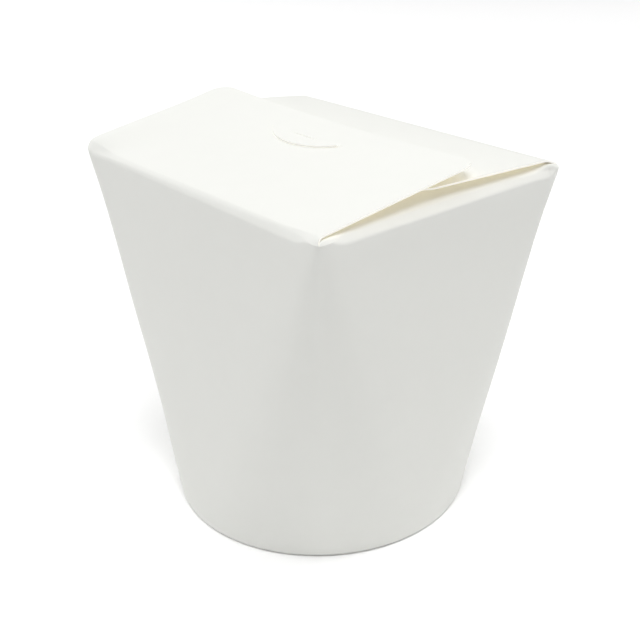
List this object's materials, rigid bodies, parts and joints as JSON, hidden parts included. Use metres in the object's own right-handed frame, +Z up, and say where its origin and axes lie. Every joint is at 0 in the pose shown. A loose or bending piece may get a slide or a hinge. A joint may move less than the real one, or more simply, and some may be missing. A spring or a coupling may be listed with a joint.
{
  "type": "noodle takeaway box",
  "caption": "Shut takeaway carton of white coated paperboard: round foot widening to a rectangular rim, closed by two interlocked flaps.",
  "frame": {"origin": "middle of the round foot, on the plane that the box stands on", "axes": "+Z up; X along the broad panels whose flaps close the box; the outer flap is hinged at the front rim, towards -Y"},
  "size_m": [0.1074, 0.088, 0.1113],
  "materials": {
    "paperboard": "satin",
    "base_board": "satin"
  },
  "bodies": {
    "root": {"carton": "paperboard", "base_disc": "base_board"}
  },
  "joints": []
}
